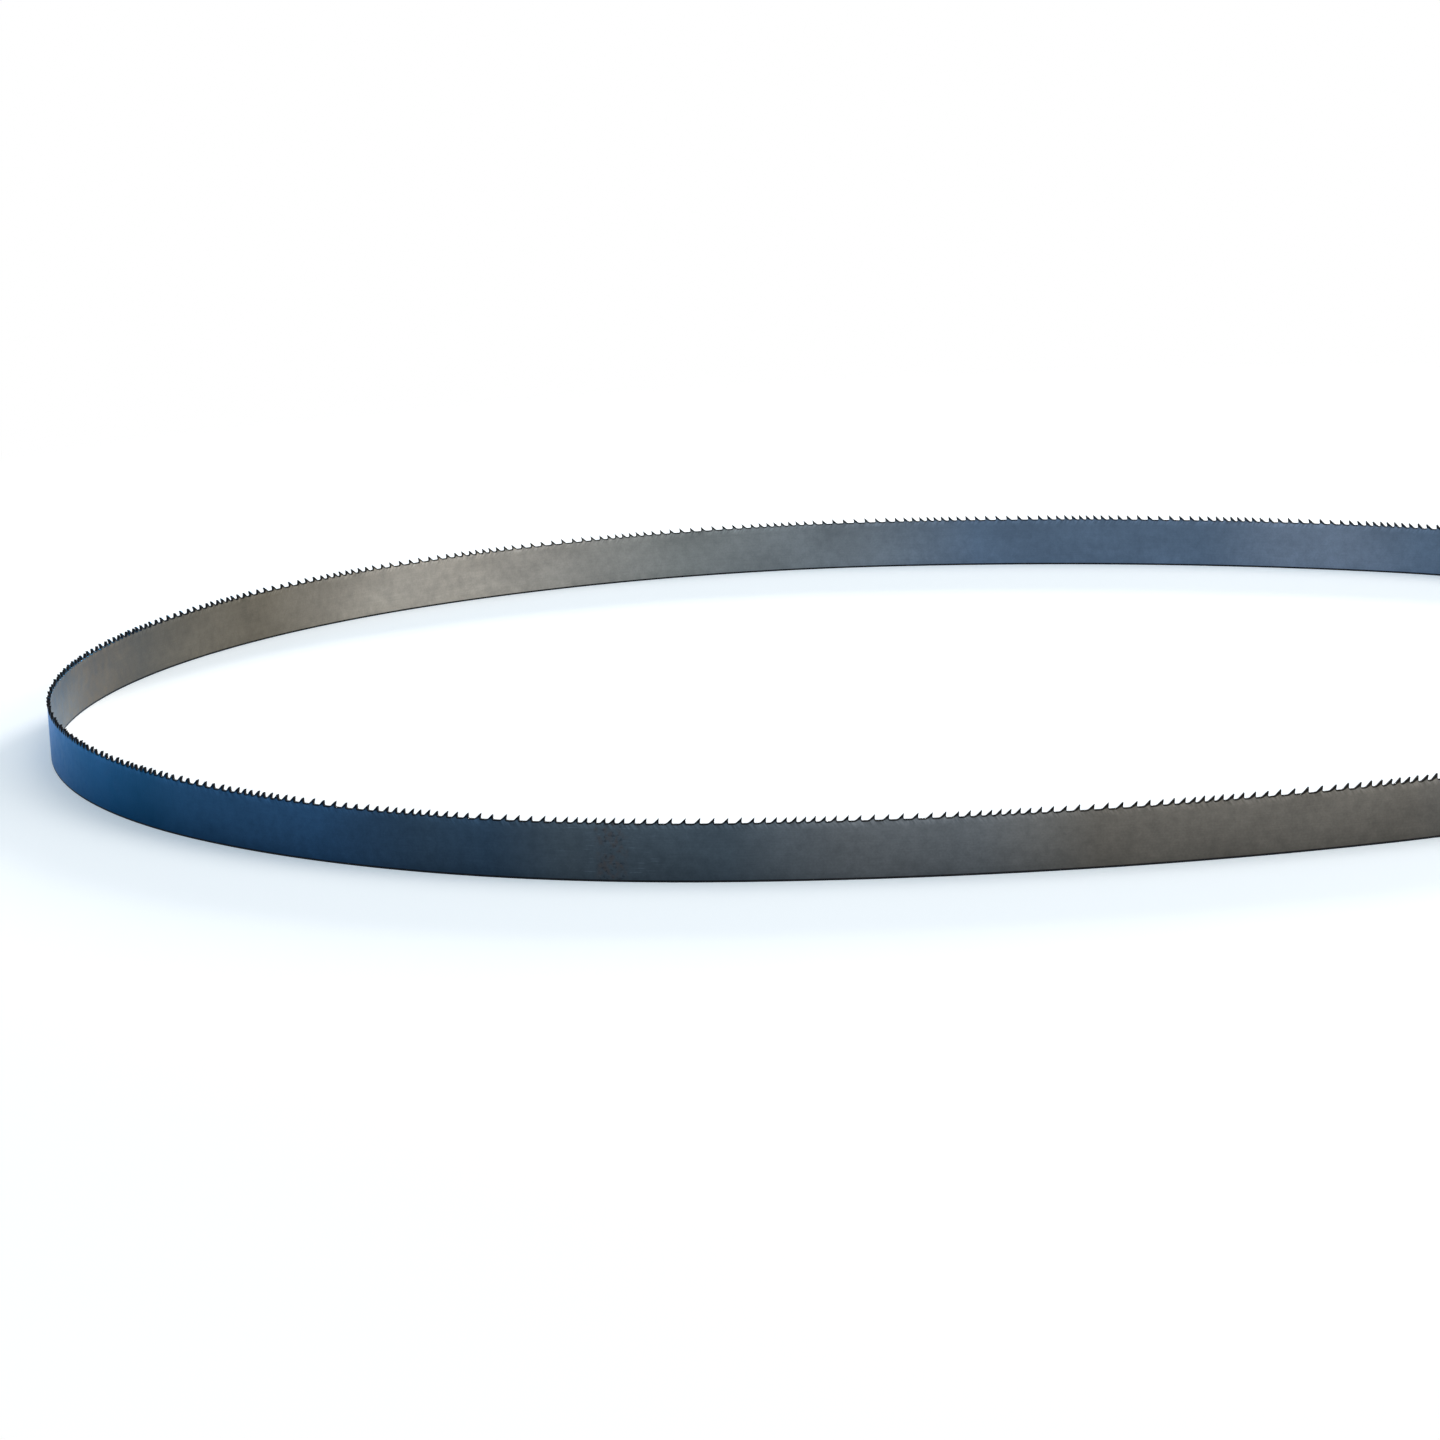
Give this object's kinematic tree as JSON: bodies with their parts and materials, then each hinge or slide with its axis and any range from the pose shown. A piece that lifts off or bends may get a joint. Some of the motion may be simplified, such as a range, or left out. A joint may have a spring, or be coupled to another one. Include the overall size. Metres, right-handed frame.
{
  "type": "band saw blade",
  "caption": "Closed loop of thin steel strip with set teeth of variable pitch along one edge, relaxed into a rounded oval and standing on its smooth back edge.",
  "frame": {"origin": "centre of the loop's bounding box, on the plane that the smooth back edge stands on", "axes": "+Z from the back edge towards the tooth tips, across the strip's width; +X along the loop's longest extent, towards its small end; the loop is symmetric about the X axis, apart from its teeth"},
  "size_m": [0.3938, 0.3254, 0.0127],
  "materials": {
    "blued_steel": "satin, blued by heat treatment"
  },
  "bodies": {
    "root": {"band_saw_blade": "blued_steel"}
  },
  "joints": []
}
